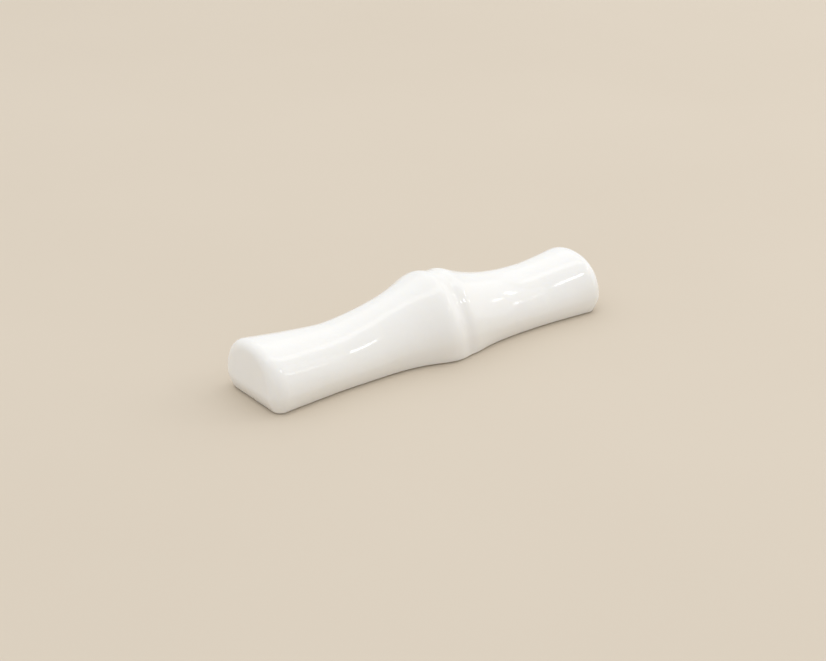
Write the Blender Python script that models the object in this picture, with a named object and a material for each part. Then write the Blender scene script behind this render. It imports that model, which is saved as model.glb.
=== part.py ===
"""Chopstick rest: a short split length of bamboo in glazed porcelain.

The stem lies along X, from its near end at -X to its far end at +X, and stands on its foot rim at Z = 0.
Two internodes, each with a shallow saddle, meet at one raised node with a groove round it, which is swept
a little towards the far end at its foot.
Each cross-section is close to half an ellipse, on side walls that draw in a little towards the foot.
Its flanks are straighter between the two waists, and fuller at the ends.
The porcelain is solid. A thin coat of glaze covers it down to the rounded base edge, and a second field
of glaze lies in the recess underneath, inside the bare foot rim.
"""

from math import radians

import bmesh
import bpy
import numpy as np

MM = 0.001

# Lengths along the stem
NEAR_INTERNODE = 40.1 * MM
FAR_INTERNODE = 34.9 * MM
NEAR_WAIST = 16.7 * MM  # lowest point of the saddle, from the near end
FAR_WAIST = 13.1 * MM  # lowest point of the saddle, from the far end

# Heights of the crown over the table
NEAR_END_HEIGHT = 11.2 * MM
NEAR_WAIST_HEIGHT = 9.9 * MM
NODE_HEIGHT = 15.4 * MM  # before the groove is pressed in
FAR_WAIST_HEIGHT = 10.3 * MM
FAR_END_HEIGHT = 11.6 * MM

# Widths across the side walls, where they are widest
NEAR_END_WIDTH = 17.9 * MM
NEAR_WAIST_WIDTH = 15.2 * MM
NODE_WIDTH = 19.2 * MM
FAR_WAIST_WIDTH = 14.4 * MM
FAR_END_WIDTH = 16.0 * MM

# How each flare grows from its waist, as a power: 1 is straight, and more is hollower
END_FLARE = 1.3
NEAR_NODE_RISE = 1.6
FAR_NODE_RISE = 2.5
NEAR_NODE_SPREAD = 5.5
FAR_NODE_SPREAD = 2.6

# The node: its crest, its sides and the groove round it
CREST_BLUNTNESS = 0.2 * MM
SIDE_BLUNTNESS = 1.9 * MM
SIDE_LEAD = 4.1 * MM  # the sides are widest this far before the groove
GROOVE_DEPTH = 1.1 * MM  # at the crown
GROOVE_SIDE_DEPTH = 0.8 * MM  # drawn in on top of that at the sides
GROOVE_HALF_WIDTH = 1.6 * MM
GROOVE_FADE = 0.3  # how its depth at the sides fades out towards the foot, as a power
NODE_SWEEP = 2.3 * MM  # how far the foot of the node is swept towards the far end
SWEEP_CURL = 2.8  # how late that comes on the way down from the crown, as a power
SWEEP_REACH = 6.8 * MM  # how far along the stem it is felt

# Cross-section and edges
WIDEST_LEVEL = 0.32  # share of the height at which a section is widest
FLANK_STRAIGHTNESS = 0.09  # between the waists: 0 is an ellipse, more is straighter, and less is fuller
END_FLANK_STRAIGHTNESS = -0.11
FOOT_TUCK = 1.2 * MM  # how far the walls draw in from the widest level to the foot
FOOT_CURL = 1.5  # how late they do so, as a power
NEAR_EDGE_ROUND = 1.8 * MM  # over the top of the near end
FAR_EDGE_ROUND = 4.2 * MM  # over the top of the far end
END_CORNER_ROUND = 2.9 * MM  # in plan, at the upright corners of each end
BASE_EDGE_ROUND = 0.25 * MM

# Glaze and foot
GLAZE_THICKNESS = 0.25 * MM
BOND_GAP = 0.1 * MM
FOOT_WIDTH = 2.2 * MM
RECESS_DEPTH = 0.7 * MM
RECESS_CORNER_ROUND = 1.2 * MM

# Fineness of the surfaces
END_RINGS = 7
INTERNODE_RINGS = 14
NODE_RINGS = 21
NODE_RINGS_REACH = 5.0 * MM  # the node's close rings run this far to each side of it
CROWN_STEPS = 8
WALL_STEPS = 5
BASE_EDGE_STEPS = 2
SHARP_ANGLE = radians(40)

# Colour and roughness
BARE_PORCELAIN = ((0.80, 0.77, 0.71, 1.0), 0.6)
IVORY_GLAZE = ((0.90, 0.88, 0.83, 1.0), 0.08)

# Worked out from the sizes above
HALF_LENGTH = (NEAR_INTERNODE + FAR_INTERNODE) / 2
NODE_X = NEAR_INTERNODE - HALF_LENGTH
BODY_DEPTH = GLAZE_THICKNESS + BOND_GAP
RECESS_MARGIN = BODY_DEPTH + FOOT_TUCK + BASE_EDGE_ROUND + FOOT_WIDTH


def soft_lower(first, second, bluntness):
    """The lower of two curves, with the corner where they cross made blunt."""
    return (first + second) / 2 - np.hypot((first - second) / 2, bluntness)


def flare(from_waist, waist, end, node, powers):
    """A size along one internode: least at its waist, and growing as a power to each side.

    from_waist is positive towards the node. end and node are (distance from the waist, size there).
    """
    to_end, to_node = (
        waist + (size - waist) * np.abs(from_waist / distance) ** power
        for (distance, size), power in zip((end, node), powers)
    )
    return np.where(from_waist > 0, to_node, to_end)


def along_stem(x, near, far, node, powers, bluntness, lead=0):
    """A size of the stem at each x. near and far are its (end, waist) sizes, and node the one at the node.

    lead is how far before the node's groove this size is greatest.
    """
    peak = node + bluntness
    near_side = flare(
        x + HALF_LENGTH - NEAR_WAIST,
        near[1],
        (NEAR_WAIST, near[0]),
        (NEAR_INTERNODE - lead - NEAR_WAIST, peak),
        (END_FLARE, powers[0]),
    )
    far_side = flare(
        HALF_LENGTH - FAR_WAIST - x,
        far[1],
        (FAR_WAIST, far[0]),
        (FAR_INTERNODE + lead - FAR_WAIST, peak),
        (END_FLARE, powers[1]),
    )
    return soft_lower(near_side, far_side, bluntness)


def groove(x):
    """How much of the groove's depth there is at each x."""
    return np.exp(-(((x - NODE_X) / GROOVE_HALF_WIDTH) ** 2))


def node_sweep(x, down=1):
    """How far the stem is swept along at each x, this share of the way down from the crown to the foot."""
    return NODE_SWEEP * down**SWEEP_CURL * np.exp(-(((x - NODE_X) / SWEEP_REACH) ** 2))


def crown_height(x):
    near = (NEAR_END_HEIGHT, NEAR_WAIST_HEIGHT)
    far = (FAR_END_HEIGHT, FAR_WAIST_HEIGHT)
    powers = (NEAR_NODE_RISE, FAR_NODE_RISE)
    return along_stem(x, near, far, NODE_HEIGHT, powers, CREST_BLUNTNESS) - GROOVE_DEPTH * groove(x)


def half_width(x):
    near = (NEAR_END_WIDTH / 2, NEAR_WAIST_WIDTH / 2)
    far = (FAR_END_WIDTH / 2, FAR_WAIST_WIDTH / 2)
    powers = (NEAR_NODE_SPREAD, FAR_NODE_SPREAD)
    return along_stem(x, near, far, NODE_WIDTH / 2, powers, SIDE_BLUNTNESS, SIDE_LEAD)


def flank_straightness(x):
    """How much straighter than an ellipse the flanks are at each x. It changes from a waist to its end."""
    to_near_end = 1 - (HALF_LENGTH + x) / NEAR_WAIST
    to_far_end = 1 - (HALF_LENGTH - x) / FAR_WAIST
    to_end = np.clip(np.maximum(to_near_end, to_far_end), 0, 1)
    return FLANK_STRAIGHTNESS + (END_FLANK_STRAIGHTNESS - FLANK_STRAIGHTNESS) * to_end**END_FLARE


def drawn_back(distance, radius):
    """How far a rounded edge has drawn back, at a distance from the face that it runs into."""
    return radius - np.sqrt(radius**2 - np.clip(radius - distance, 0, radius) ** 2)


def stations(half_length, corner):
    """The x of every ring, close together in the rounded ends and at the node."""
    rounded = corner * (1 - np.cos(np.linspace(0, np.pi / 2, END_RINGS)))
    stops = (
        corner - half_length,
        NODE_X - NODE_RINGS_REACH,
        NODE_X + NODE_RINGS_REACH,
        half_length - corner,
    )
    counts = (INTERNODE_RINGS, NODE_RINGS, INTERNODE_RINGS)
    spans = [np.linspace(a, b, n)[1:] for a, b, n in zip(stops, stops[1:], counts)]
    return np.concatenate([rounded - half_length, *spans, half_length - rounded[-2::-1]])


def stem_rings(depth):
    """Rings of points on the surface at this depth under the face of the glaze.

    Each ring starts at the near foot edge, climbs over the crown and ends at the far foot edge.
    """
    half_length = HALF_LENGTH - depth
    corner = END_CORNER_ROUND - depth
    x = stations(half_length, corner)[:, None]
    from_end = half_length - np.abs(x)
    top_edge = np.where(x < 0, NEAR_EDGE_ROUND, FAR_EDGE_ROUND) - depth
    height = crown_height(x) - depth - drawn_back(from_end, top_edge)
    width = half_width(x) - depth - drawn_back(from_end, corner)
    widest = WIDEST_LEVEL * height

    turn = np.linspace(0, np.pi / 2, BASE_EDGE_STEPS + 1)
    edge_z = np.broadcast_to(BASE_EDGE_ROUND * (1 - np.cos(turn)), (len(x), len(turn)))
    # Up the wall the steps grow, because it curves most at its foot
    climb = np.linspace(0, 1, WALL_STEPS + 1)[1:] ** 2
    wall_z = BASE_EDGE_ROUND + (widest - BASE_EDGE_ROUND) * climb
    angle = np.linspace(0, np.pi / 2, CROWN_STEPS + 1)[1:]
    arch = np.sin(angle) * (1 - flank_straightness(x) * np.cos(angle) ** 2)
    half_z = np.concatenate([edge_z, wall_z, widest + (height - widest) * arch], axis=1)

    # The foot tucks in square to the outline in plan, which turns at the ends
    tucked = FOOT_TUCK * np.clip(1 - half_z / widest, 0, 1) ** FOOT_CURL
    tucked = tucked + drawn_back(half_z, BASE_EDGE_ROUND)
    turned = np.clip(1 - from_end / corner, 0, 1)
    share = np.concatenate([np.ones(len(turn) + WALL_STEPS), np.cos(angle)])
    climbed = np.clip(half_z / height, 0, 1)
    pressed = 1 - GROOVE_SIDE_DEPTH * groove(x) / width * climbed**GROOVE_FADE
    half_x = x - np.sign(x) * turned * tucked + node_sweep(x, 1 - climbed)
    half_y = width * share * pressed - np.sqrt(1 - turned**2) * tucked

    x, z = (np.concatenate([half, half[:, -2::-1]], axis=1) for half in (half_x, half_z))
    y = np.concatenate([-half_y, half_y[:, -2::-1]], axis=1)
    return np.stack([x, y, z], axis=2)


def loft(mesh, rings):
    """Skins the rings and closes both ends with strips across them. It returns each ring's vertices."""
    grid = [[mesh.verts.new(point) for point in ring] for ring in rings]
    for this, after in zip(grid, grid[1:]):
        for k in range(len(this) - 1):
            mesh.faces.new((this[k], this[k + 1], after[k + 1], after[k]))
    for ring in (grid[0], grid[-1]):
        for k in range(len(ring) // 2):
            # At the crown the two upper corners are one vertex
            mesh.faces.new(dict.fromkeys((ring[k], ring[k + 1], ring[-2 - k], ring[-1 - k])))
    return grid


def finish(mesh, name, collection, surface=None):
    """Makes the mesh an object of the collection, facing outwards and shaded smooth but for its sharp edges.

    surface is the (colour, roughness) of its material.
    """
    bmesh.ops.recalc_face_normals(mesh, faces=mesh.faces)
    data = bpy.data.meshes.new(name)
    mesh.to_mesh(data)
    mesh.free()
    data.shade_smooth()
    data.set_sharp_from_angle(angle=SHARP_ANGLE)
    if surface:
        data.materials.append(make_material(name, *surface))
    made = bpy.data.objects.new(name, data)
    collection.objects.link(made)
    return made


def make_material(name, colour, roughness):
    material = bpy.data.materials.new(name)
    material.use_nodes = True
    shader = material.node_tree.nodes["Principled BSDF"]
    shader.inputs["Base Color"].default_value = colour
    shader.inputs["Roughness"].default_value = roughness
    return material


def make_collection(name):
    collection = bpy.data.collections.new(name)
    bpy.context.scene.collection.children.link(collection)
    return collection


def recess_slab(name, margin, bottom, top, collection, surface=None):
    """A slab with the outline of the recess, drawn in from the outline of the stem by the margin."""
    half_length = HALF_LENGTH - margin
    x = stations(half_length, RECESS_CORNER_ROUND)
    y = half_width(x) - margin - drawn_back(half_length - np.abs(x), RECESS_CORNER_ROUND)
    x = x + node_sweep(x)
    mesh = bmesh.new()
    near = [mesh.verts.new((a, -b, bottom)) for a, b in zip(x, y)]
    far = [mesh.verts.new((a, b, bottom)) for a, b in zip(x, y)]
    for k in range(len(x) - 1):
        mesh.faces.new((near[k], near[k + 1], far[k + 1], far[k]))
    raised = bmesh.ops.extrude_face_region(mesh, geom=mesh.faces[:])["geom"]
    lifted = [part for part in raised if isinstance(part, bmesh.types.BMVert)]
    bmesh.ops.translate(mesh, vec=(0, 0, top - bottom), verts=lifted)
    return finish(mesh, name, collection, surface)


def porcelain_body(parts, cutters):
    """The solid porcelain, with the recess cut into its underside."""
    mesh = bmesh.new()
    grid = loft(mesh, stem_rings(BODY_DEPTH))
    for this, after in zip(grid, grid[1:]):
        mesh.faces.new((this[0], after[0], after[-1], this[-1]))
    body = finish(mesh, "porcelain_body", parts, BARE_PORCELAIN)
    cutter = recess_slab("recess_cutter", RECESS_MARGIN, -RECESS_DEPTH, RECESS_DEPTH, cutters)
    cutter.hide_render = True
    cutter.display_type = "WIRE"
    cut = body.modifiers.new("recess", "BOOLEAN")
    cut.operation = "DIFFERENCE"
    cut.object = cutter


def glaze_coat(parts):
    """The coat over the top, sides and ends, which stops where the base edge starts to round under."""
    mesh = bmesh.new()
    edges = []
    for depth in (0, GLAZE_THICKNESS):
        grid = loft(mesh, stem_rings(depth)[:, BASE_EDGE_STEPS:-BASE_EDGE_STEPS])
        edges.append([ring[0] for ring in grid] + [ring[-1] for ring in reversed(grid)])
    outer, inner = edges
    for k in range(len(outer)):
        mesh.faces.new((outer[k - 1], outer[k], inner[k], inner[k - 1]))
    finish(mesh, "glaze_coat", parts, IVORY_GLAZE)


def base_glaze(parts):
    """The field of glaze on the roof of the recess."""
    top = RECESS_DEPTH - BOND_GAP
    recess_slab("base_glaze", RECESS_MARGIN + BOND_GAP, top - GLAZE_THICKNESS, top, parts, IVORY_GLAZE)


def main():
    for old in list(bpy.data.objects):
        bpy.data.objects.remove(old, do_unlink=True)
    parts = make_collection("chopstick rest")
    cutters = make_collection("cutters")
    porcelain_body(parts, cutters)
    glaze_coat(parts)
    base_glaze(parts)


main()
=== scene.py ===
"""Chopstick rest in ivory-glazed porcelain, on a plain floor in soft studio light."""

from math import cos, pi, radians, sin

import bpy
import numpy as np
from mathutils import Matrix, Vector


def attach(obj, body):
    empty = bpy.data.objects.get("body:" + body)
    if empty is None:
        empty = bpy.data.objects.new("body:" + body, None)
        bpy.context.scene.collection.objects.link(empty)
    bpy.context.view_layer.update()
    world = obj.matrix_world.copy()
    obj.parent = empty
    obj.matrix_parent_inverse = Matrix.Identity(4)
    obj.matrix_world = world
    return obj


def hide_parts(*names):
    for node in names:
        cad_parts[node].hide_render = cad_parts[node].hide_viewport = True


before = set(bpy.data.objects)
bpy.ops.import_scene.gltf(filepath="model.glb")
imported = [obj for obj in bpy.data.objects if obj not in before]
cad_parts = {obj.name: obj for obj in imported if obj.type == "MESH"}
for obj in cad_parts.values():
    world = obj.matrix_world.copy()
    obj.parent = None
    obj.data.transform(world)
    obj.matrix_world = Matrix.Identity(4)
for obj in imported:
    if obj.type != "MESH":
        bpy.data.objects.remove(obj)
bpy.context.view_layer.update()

MM = 0.001

# The stem, with the sizes that its solids have
NEAR_INTERNODE = 40.1 * MM
FAR_INTERNODE = 34.9 * MM
NEAR_WAIST = 16.7 * MM  # lowest point of the saddle, from the near end
FAR_WAIST = 13.1 * MM
CROWN_HEIGHTS = {"near": (11.2 * MM, 9.9 * MM), "far": (11.6 * MM, 10.3 * MM)}  # at the end and the waist
HALF_WIDTHS = {"near": (8.95 * MM, 7.6 * MM), "far": (8.0 * MM, 7.2 * MM)}  # likewise
NODE_HEIGHT = 15.4 * MM  # before the groove is pressed in
NODE_HALF_WIDTH = 9.6 * MM
END_FLARE = 1.3  # how a flare grows from its waist, as a power
NODE_RISE = {"near": 1.6, "far": 2.5}  # how the crown climbs from a waist to the node, as a power
NODE_SPREAD = {"near": 5.5, "far": 2.6}  # the same for the sides
CREST_BLUNTNESS = 0.2 * MM
SIDE_BLUNTNESS = 1.9 * MM
SIDE_LEAD = 4.1 * MM  # the sides are widest this far before the groove
GROOVE_DEPTH = 1.1 * MM  # at the crown
GROOVE_SIDE_DEPTH = 0.8 * MM  # drawn in on top of that at the sides
GROOVE_HALF_WIDTH = 1.6 * MM
GROOVE_FADE = 0.3  # how its depth at the sides fades out towards the foot, as a power
NODE_SWEEP = 2.3 * MM  # how far the foot of the node is swept towards the far end
SWEEP_CURL = 2.8  # how late that comes on the way down from the crown, as a power
SWEEP_REACH = 6.8 * MM  # how far along the stem it is felt
WIDEST_LEVEL = 0.32  # share of the height at which a section is widest
FLANK_STRAIGHTNESS = 0.09  # between the waists: 0 is an ellipse, more is straighter, and less is fuller
END_FLANK_STRAIGHTNESS = -0.11
FOOT_TUCK = 1.2 * MM  # how far the walls draw in from the widest level to the foot
FOOT_CURL = 1.5  # how late that comes on the way down, as a power
NEAR_EDGE_ROUND = 1.8 * MM  # over the top of each end
FAR_EDGE_ROUND = 4.2 * MM
END_CORNER_ROUND = 2.9 * MM  # in plan
HALF_LENGTH = (NEAR_INTERNODE + FAR_INTERNODE) / 2
GROOVE_X = NEAR_INTERNODE - HALF_LENGTH

# The coat and the pool of glaze
GLAZE_FOOT = 0.25 * MM  # height of the coat's lower edge over the table
GLAZE_THICKNESS = 0.25 * MM
BEAD_ROUND = 0.07 * MM  # the rounded lip along the coat's lower edge
POOL_LIP = 0.6 * MM  # width of the raised lip round the pool under the base
POOL_DIP = 0.07 * MM
POOL_ROUND = 0.06 * MM
LIP_SEGMENTS = 3
SHARP_EDGE = radians(60)  # edges that turn by more than this are rounded
SMOOTH_EDGE = radians(40)  # edges of the pool that turn by less than this are shaded smooth
FLAT_EDGE = radians(2)  # edges of the pool that turn by less than this are dissolved
DOWNWARD = -0.9  # a face of the pool whose normal has less z than this looks down
WELD = 0.001 * MM

# Fineness of the coat
END_FACE_RINGS = 14
CORNER_RINGS = 20
INTERNODE_RINGS = 36
NODE_RINGS = 72
NODE_RINGS_REACH = 6.0 * MM
WALL_STEPS = 16
WALL_CROWDING = 1.5  # how the steps up a wall crowd towards the foot, as a power
CROWN_STEPS = 24

# Looks of the glaze
GLAZE_TINTS = ((0.885, 0.868, 0.828, 1), (0.905, 0.892, 0.862, 1))
# Painted shade: the glaze is tinted darker along the groove, where shade falls
GROOVE_PAINTED_SHADE = (0.86, 0.84, 0.795, 1)
GROOVE_PAINTED_SHADE_SHARE = 0.3  # in the middle of the groove
GROOVE_PAINTED_SHADE_REACH = 1.0 * MM  # to either side of it
# Painted shade: the glaze is tinted warmer and darker near the foot, standing in for the floor's bounce
# and contact shade
FOOT_PAINTED_SHADE = (0.85, 0.82, 0.74, 1)
FOOT_PAINTED_SHADE_SHARE = 0.15
FOOT_PAINTED_SHADE_LEVELS = (0.4 * MM, 2.2 * MM)  # full up to the first height, and gone from the second
GLAZE_ROUGHNESS = (0.05, 0.11)
GLAZE_DEPTH = {"Subsurface Weight": 0.15, "Subsurface Scale": MM, "Subsurface Radius": (1.0, 0.8, 0.55)}
GLAZE_IOR = 1.52
SWELL_HEIGHT = 0.065 * MM  # of the slow wave in the glaze
PEEL_HEIGHT = 0.002 * MM  # of the fine ripple on that

# Looks of the bare porcelain and the floor
PORCELAIN_TINTS = ((0.70, 0.65, 0.56, 1), (0.80, 0.77, 0.70, 1))
PORCELAIN_ROUGHNESS = (0.5, 0.75)
GRAIN_STRENGTH = 0.6
GRAIN_HEIGHT = 0.02 * MM
FLOOR_TINTS = ((0.61, 0.535, 0.435, 1), (0.65, 0.575, 0.475, 1))
FLOOR_ROUGHNESS = 0.9
FLOOR_SIZE = 3
NOISE_SPAN = (0.3, 0.7)  # where nearly all the values of a noise lie
STAIN_SPAN = (0.35, 0.65)

# The studio: azimuth and elevation in degrees, distance, width and height, and radiance of each lamp
SURROUNDINGS = 0.84
LAMPS = {
    "overhead_panel": (180, 70, 0.75, (1.6, 0.9), 0.38),
    "overhead_strip": (0, 85, 0.75, (1.4, 0.16), 0.95),
    "right_panel": (78, 22, 0.8, (0.9, 0.6), 0.52),
    "key_strip": (35.5, 40.5, 0.7, (0.085, 0.06), 7.5),
    "side_strip": (69, 36, 0.7, (0.1, 0.045), 5),
    "side_spot": (67, 25.5, 0.7, (0.035, 0.07), 5),
    "front_spot": (46, 26, 0.7, (0.015, 0.05), 2.5),
    "low_spot": (50.5, 20.5, 0.7, (0.025, 0.055), 5),
}

# The photograph's viewpoint
VIEW_AZIMUTH = radians(-37.084)
VIEW_ELEVATION = radians(24.021)
VIEW_DISTANCE = 330 * MM
VIEW_FOCUS = Vector((0, 0, 6)) * MM
VIEW_AIM = Vector((-2.07, 0.33, 3.79)) * MM
LENS = 79.04  # in millimetres, like the sensor
SENSOR_WIDTH = 36
CLIP_START = 10 * MM


def pick_only(piece):
    """Leaves this piece alone selected, and active."""
    bpy.ops.object.select_all(action="DESELECT")
    piece.select_set(True)
    bpy.context.view_layer.objects.active = piece


def apply_modifier(piece, kind, **settings):
    modifier = piece.modifiers.new(kind.title(), kind)
    for name, value in settings.items():
        setattr(modifier, name, value)
    pick_only(piece)
    bpy.ops.object.modifier_apply(modifier=modifier.name)


def round_lip(piece, width):
    """Rounds the sharp edges of a piece."""
    apply_modifier(
        piece, "BEVEL", width=width, segments=LIP_SEGMENTS, limit_method="ANGLE", angle_limit=SHARP_EDGE
    )


def edit_all(*steps):
    """Takes the active piece through steps of mesh editing, with all of it selected at first."""
    bpy.ops.object.mode_set(mode="EDIT")
    bpy.ops.mesh.select_all(action="SELECT")
    for step, settings in steps:
        step(**settings)
    bpy.ops.object.mode_set(mode="OBJECT")


def along_stem(x, sizes, node, powers, bluntness, lead=0):
    """A size of the stem at each x: least at the two waists, growing as a power to the ends and the node.

    lead is how far before the groove this size is greatest, and bluntness rounds that peak.
    """
    sides = []
    for side, sign, internode, waist in (
        ("near", 1, NEAR_INTERNODE - lead, NEAR_WAIST),
        ("far", -1, FAR_INTERNODE + lead, FAR_WAIST),
    ):
        end, least = sizes[side]
        from_waist = HALF_LENGTH + sign * x - waist
        rise = np.abs(from_waist / (internode - waist)) ** powers[side]
        to_node = least + (node + bluntness - least) * rise
        to_end = least + (end - least) * np.abs(from_waist / waist) ** END_FLARE
        sides.append(np.where(from_waist > 0, to_node, to_end))
    return (sides[0] + sides[1]) / 2 - np.hypot((sides[0] - sides[1]) / 2, bluntness)


def bell(x, reach):
    """A bell curve along the stem, 1 at the groove."""
    return np.exp(-(((x - GROOVE_X) / reach) ** 2))


def flank_straightness(x):
    """How much straighter than an ellipse the flanks are at each x. It changes from a waist to its end."""
    to_near_end = 1 - (HALF_LENGTH + x) / NEAR_WAIST
    to_far_end = 1 - (HALF_LENGTH - x) / FAR_WAIST
    to_end = np.clip(np.maximum(to_near_end, to_far_end), 0, 1)
    return FLANK_STRAIGHTNESS + (END_FLANK_STRAIGHTNESS - FLANK_STRAIGHTNESS) * to_end**END_FLARE


def drawn_back(distance, radius):
    """How far a rounded edge has drawn back, at a distance from the face that it runs into."""
    return radius - np.sqrt(radius**2 - np.clip(radius - distance, 0, radius) ** 2)


def foot_tuck(z, widest):
    """How far a wall has drawn in at each height, below its widest level."""
    return FOOT_TUCK * np.clip(1 - z / widest, 0, 1) ** FOOT_CURL


def stations():
    """The x of every ring, close together in the rounded corners and at the node."""
    rounded = END_CORNER_ROUND * (1 - np.cos(np.linspace(0, pi / 2, CORNER_RINGS)))
    stops = (
        END_CORNER_ROUND - HALF_LENGTH,
        GROOVE_X - NODE_RINGS_REACH,
        GROOVE_X + NODE_RINGS_REACH,
        HALF_LENGTH - END_CORNER_ROUND,
    )
    counts = (INTERNODE_RINGS, NODE_RINGS, INTERNODE_RINGS)
    spans = [np.linspace(a, b, n)[1:] for a, b, n in zip(stops, stops[1:], counts)]
    return np.concatenate([rounded - HALF_LENGTH, *spans, HALF_LENGTH - rounded[-2::-1]])


def mirrored(half, sign):
    """Adds the other half of every ring, from the crown down, with this sign."""
    return np.concatenate([half, sign * half[:, -2::-1]], axis=1)


def stem_rings():
    """Rings over the stem, each from one foot edge over the crown to the other foot edge."""
    x = stations()[:, None]
    from_end = HALF_LENGTH - np.abs(x)
    groove = bell(x, GROOVE_HALF_WIDTH)
    height = along_stem(x, CROWN_HEIGHTS, NODE_HEIGHT, NODE_RISE, CREST_BLUNTNESS)
    top_edge = np.where(x < 0, NEAR_EDGE_ROUND, FAR_EDGE_ROUND)
    height = height - GROOVE_DEPTH * groove - drawn_back(from_end, top_edge)
    width = along_stem(x, HALF_WIDTHS, NODE_HALF_WIDTH, NODE_SPREAD, SIDE_BLUNTNESS, SIDE_LEAD)
    width = width - drawn_back(from_end, END_CORNER_ROUND)
    widest = WIDEST_LEVEL * height

    climb = np.linspace(0, 1, WALL_STEPS + 1) ** WALL_CROWDING
    angle = np.linspace(0, pi / 2, CROWN_STEPS + 1)[1:]
    wall_z = GLAZE_FOOT + (widest - GLAZE_FOOT) * climb
    arch = np.sin(angle) * (1 - flank_straightness(x) * np.cos(angle) ** 2)
    z = np.concatenate([wall_z, widest + (height - widest) * arch], axis=1)
    share = np.concatenate([np.ones(WALL_STEPS + 1), np.cos(angle)])
    turned = np.clip(1 - from_end / END_CORNER_ROUND, 0, 1)
    climbed = np.clip(z / height, 0, 1)
    pressed = 1 - GROOVE_SIDE_DEPTH * groove / width * climbed**GROOVE_FADE
    sweep = NODE_SWEEP * (1 - climbed) ** SWEEP_CURL * bell(x, SWEEP_REACH)
    tuck = foot_tuck(z, widest)
    x = x - np.sign(x) * turned * tuck + sweep
    y = width * share * pressed - np.sqrt(1 - turned**2) * tuck
    return np.stack([mirrored(x, 1), mirrored(-y, -1), mirrored(z, 1)], axis=2)


def end_face(ring):
    """Rings that draw in over the face of one end, from its outline to the middle of its foot."""
    share = np.linspace(1, 0, END_FACE_RINGS + 1)[1:, None]
    y = ring[:, 1] * share
    z = GLAZE_FOOT + (ring[:, 2] - GLAZE_FOOT) * share
    sign = np.sign(ring[0, 0])
    x = sign * (HALF_LENGTH - foot_tuck(z, WIDEST_LEVEL * ring[:, 2].max()))
    return np.stack([x, y, z], axis=2)


def glaze_skin():
    """The coat over the top, sides and ends, with a rounded lip along its lower edge."""
    rings = stem_rings()
    rings = np.concatenate([end_face(rings[0])[::-1], rings, end_face(rings[-1])])
    ring_count, ring_size = rings.shape[:2]
    bpy.ops.object.select_all(action="DESELECT")
    bpy.ops.mesh.primitive_grid_add(x_subdivisions=ring_count - 1, y_subdivisions=ring_size - 1, size=2)
    skin = bpy.context.object
    skin.name = skin.data.name = "glaze_skin"
    for point in skin.data.vertices:
        ring = round((point.co.x + 1) / 2 * (ring_count - 1))
        step = round((point.co.y + 1) / 2 * (ring_size - 1))
        point.co = rings[ring, step]
    weld = (bpy.ops.mesh.remove_doubles, {"threshold": WELD})
    edit_all(weld, (bpy.ops.mesh.normals_make_consistent, {"inside": False}))
    apply_modifier(skin, "SOLIDIFY", thickness=GLAZE_THICKNESS, offset=-1, use_even_offset=True)
    round_lip(skin, BEAD_ROUND)
    edit_all(weld)
    bpy.ops.object.shade_smooth()
    return skin


def glaze_pool():
    """The glaze in the recess under the base, a little thicker along its edge."""
    pool = bpy.data.objects.new("glaze_pool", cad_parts["base_glaze"].data.copy())
    pool.data.name = "glaze_pool"
    pool.data.materials.clear()
    bpy.context.scene.collection.objects.link(pool)
    pick_only(pool)
    edit_all(
        (bpy.ops.mesh.remove_doubles, {"threshold": WELD}),
        (bpy.ops.mesh.customdata_custom_splitnormals_clear, {}),
        (bpy.ops.mesh.dissolve_limited, {"angle_limit": FLAT_EDGE}),
    )
    bpy.context.tool_settings.mesh_select_mode = (False, False, True)
    for face in pool.data.polygons:
        face.select = face.normal.z < DOWNWARD
    bpy.ops.object.mode_set(mode="EDIT")
    bpy.ops.mesh.inset(thickness=POOL_LIP)
    bpy.ops.transform.translate(value=(0, 0, POOL_DIP))
    bpy.ops.object.mode_set(mode="OBJECT")
    round_lip(pool, POOL_ROUND)
    bpy.ops.object.shade_smooth_by_angle(angle=SMOOTH_EDGE)
    return pool


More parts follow.
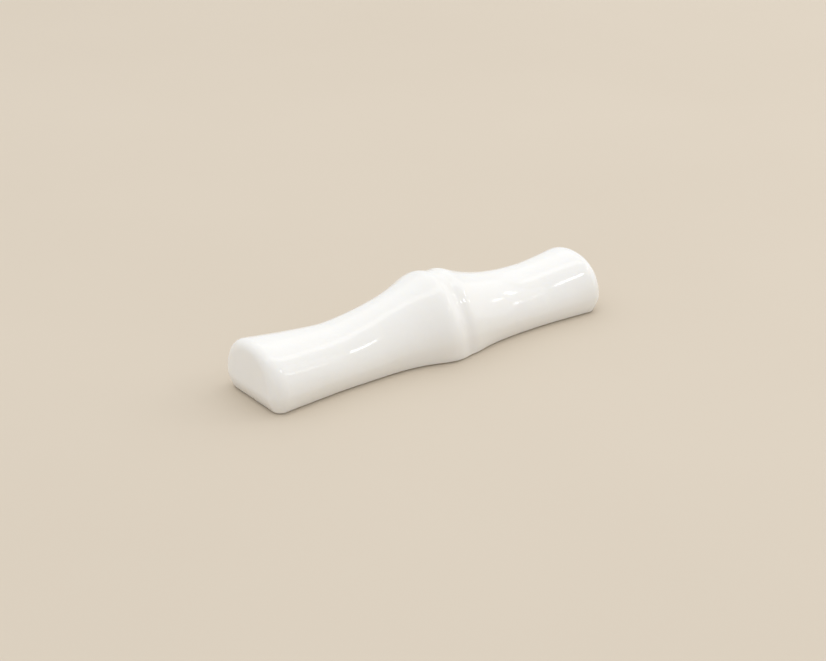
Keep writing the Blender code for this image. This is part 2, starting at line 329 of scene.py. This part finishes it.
class Surface:
    """A new material, whose patterns are fixed to the piece that wears it."""

    def __init__(self, name, sockets):
        self.material = bpy.data.materials.new(name)
        self.material.use_nodes = True
        self.link = self.material.node_tree.links.new
        self.inputs = self.material.node_tree.nodes["Principled BSDF"].inputs
        for label, value in sockets.items():
            self.inputs[label].default_value = value
        self.place = self.add("ShaderNodeTexCoord").outputs["Object"]

    def add(self, kind, sockets=(), **settings):
        """A node, with values on its inputs and settings of its own."""
        node = self.material.node_tree.nodes.new(kind)
        for name, value in settings.items():
            setattr(node, name, value)
        for label, value in dict(sockets).items():
            node.inputs[label].default_value = value
        return node

    def wear(self, label, source):
        """Drives one input of the surface."""
        self.link(source, self.inputs[label])

    def noise(self, scale, detail):
        node = self.add("ShaderNodeTexNoise", {"Scale": scale, "Detail": detail})
        self.link(self.place, node.inputs["Vector"])
        return node.outputs["Fac"]

    def ramp(self, source, tints, span=(0, 1)):
        """The colour between two tints, as the source crosses a span."""
        node = self.add("ShaderNodeValToRGB")
        for index in (0, 1):
            node.color_ramp.elements[index].position = span[index]
            node.color_ramp.elements[index].color = tints[index]
        self.link(source, node.inputs["Fac"])
        return node.outputs["Color"]

    def remap(self, source, span, results, curve="LINEAR"):
        """The value between two results, as the source crosses a span."""
        sockets = zip(("From Min", "From Max", "To Min", "To Max"), (*span, *results))
        node = self.add("ShaderNodeMapRange", sockets, interpolation_type=curve)
        self.link(source, node.inputs["Value"])
        return node.outputs["Result"]

    def reckon(self, operation, source, *others):
        """Arithmetic with a source, and with numbers or further sources."""
        node = self.add("ShaderNodeMath", operation=operation)
        for socket, operand in zip(node.inputs, (source, *others)):
            if isinstance(operand, float):
                socket.default_value = operand
            else:
                self.link(operand, socket)
        return node.outputs["Value"]

    def mix(self, share, base, tint):
        """A colour with a share of a tint in it."""
        node = self.add("ShaderNodeMix", data_type="RGBA")
        node.inputs["B"].default_value = tint
        self.link(share, node.inputs["Factor"])
        self.link(base, node.inputs["A"])
        return node.outputs["Result"]

    def bump(self, source, height, strength=1, over=None):
        node = self.add("ShaderNodeBump", {"Strength": strength, "Distance": height})
        self.link(source, node.inputs["Height"])
        if over is not None:
            self.link(over, node.inputs["Normal"])
        return node.outputs["Normal"]


def ivory_glaze(name):
    """Warm white glaze: clear and glossy, with painted shade darkening the groove and warmer painted shade
    near the foot.
    """
    glaze = Surface(name, {**GLAZE_DEPTH, "IOR": GLAZE_IOR})
    apart = glaze.add("ShaderNodeSeparateXYZ")
    glaze.link(glaze.place, apart.inputs["Vector"])
    x, z = apart.outputs["X"], apart.outputs["Z"]

    # The painted shade in the groove is followed down its sweep
    below_crown = glaze.remap(z, (0, NODE_HEIGHT - GROOVE_DEPTH), (1, 0))
    curl = glaze.reckon("POWER", below_crown, SWEEP_CURL)
    groove_x = glaze.reckon("MULTIPLY_ADD", curl, NODE_SWEEP, GROOVE_X)
    off_groove = glaze.reckon("ABSOLUTE", glaze.reckon("SUBTRACT", x, groove_x))
    groove_painted_shade = glaze.remap(off_groove, (0, GROOVE_PAINTED_SHADE_REACH), (GROOVE_PAINTED_SHADE_SHARE, 0), "SMOOTHSTEP")
    # Painted shade near the foot, fading out with height
    foot_painted_shade = glaze.remap(z, FOOT_PAINTED_SHADE_LEVELS, (FOOT_PAINTED_SHADE_SHARE, 0), "SMOOTHSTEP")
    tint = glaze.ramp(glaze.noise(scale=55, detail=2), GLAZE_TINTS, NOISE_SPAN)
    tint = glaze.mix(groove_painted_shade, tint, GROOVE_PAINTED_SHADE)
    glaze.wear("Base Color", glaze.mix(foot_painted_shade, tint, FOOT_PAINTED_SHADE))

    haze = glaze.noise(scale=320, detail=3)
    glaze.wear("Roughness", glaze.remap(haze, NOISE_SPAN, GLAZE_ROUGHNESS))
    swell = glaze.bump(glaze.noise(scale=140, detail=1), SWELL_HEIGHT)
    glaze.wear("Normal", glaze.bump(glaze.noise(scale=1100, detail=2), PEEL_HEIGHT, over=swell))
    return glaze.material


def bare_porcelain():
    """Unglazed fired porcelain: matt and warm, with a fine grain and faint stains."""
    bare = Surface("bare porcelain", {})
    stain = bare.noise(scale=160, detail=5)
    bare.wear("Base Color", bare.ramp(stain, PORCELAIN_TINTS, STAIN_SPAN))
    grain = bare.noise(scale=5000, detail=3)
    bare.wear("Roughness", bare.remap(grain, NOISE_SPAN, PORCELAIN_ROUGHNESS))
    bare.wear("Normal", bare.bump(grain, GRAIN_HEIGHT, GRAIN_STRENGTH))
    return bare.material


def studio_floor():
    bpy.ops.object.select_all(action="DESELECT")
    bpy.ops.mesh.primitive_plane_add(size=FLOOR_SIZE)
    floor = bpy.context.object
    floor.name = "studio_floor"
    card = Surface("studio floor", {"Roughness": FLOOR_ROUGHNESS})
    card.wear("Base Color", card.ramp(card.noise(scale=9, detail=3), FLOOR_TINTS))
    floor.data.materials.append(card.material)


def direction(azimuth, elevation):
    """Towards a point seen at this azimuth, 0 in front and 90 degrees at the far end, and elevation."""
    return Vector((sin(azimuth) * cos(elevation), -cos(azimuth) * cos(elevation), sin(elevation)))


def add_object(name, data):
    made = bpy.data.objects.new(name, data)
    bpy.context.scene.collection.objects.link(made)
    return made


def lamp(name, azimuth, elevation, distance, size, radiance):
    """A flat lamp that faces the object. At radiance 1 it is as bright as surroundings of strength 1."""
    data = bpy.data.lights.new(name, "AREA")
    data.shape = "RECTANGLE"
    data.size, data.size_y = size
    data.energy = radiance * pi * size[0] * size[1]
    made = add_object(name, data)
    towards = direction(radians(azimuth), radians(elevation))
    made.location = towards * distance
    made.rotation_euler = towards.to_track_quat("Z", "Y").to_euler()
    made.visible_camera = False


def studio_light():
    world = bpy.data.worlds.new("studio")
    bpy.context.scene.world = world
    world.use_nodes = True
    background = world.node_tree.nodes["Background"]
    background.inputs["Color"].default_value = (1, 1, 1, 1)
    background.inputs["Strength"].default_value = SURROUNDINGS
    for name, settings in LAMPS.items():
        lamp(name, *settings)


def camera():
    data = bpy.data.cameras.new("camera")
    data.lens = LENS
    data.sensor_width = SENSOR_WIDTH
    data.clip_start = CLIP_START
    made = add_object("camera", data)
    made.location = VIEW_FOCUS + direction(VIEW_AZIMUTH, VIEW_ELEVATION) * VIEW_DISTANCE
    made.rotation_euler = (VIEW_AIM - made.location).to_track_quat("-Z", "Y").to_euler()
    bpy.context.scene.camera = made


camera()
studio_floor()
studio_light()
bpy.context.scene.view_settings.view_transform = "Standard"

skin = glaze_skin()
skin.data.materials.append(ivory_glaze("ivory glaze"))
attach(skin, "root")
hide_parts("glaze_coat")

pool = glaze_pool()
pool.data.materials.append(ivory_glaze("pooled ivory glaze"))
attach(pool, "root")
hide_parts("base_glaze")

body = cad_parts["porcelain_body"]
body.data.materials.clear()
body.data.materials.append(bare_porcelain())
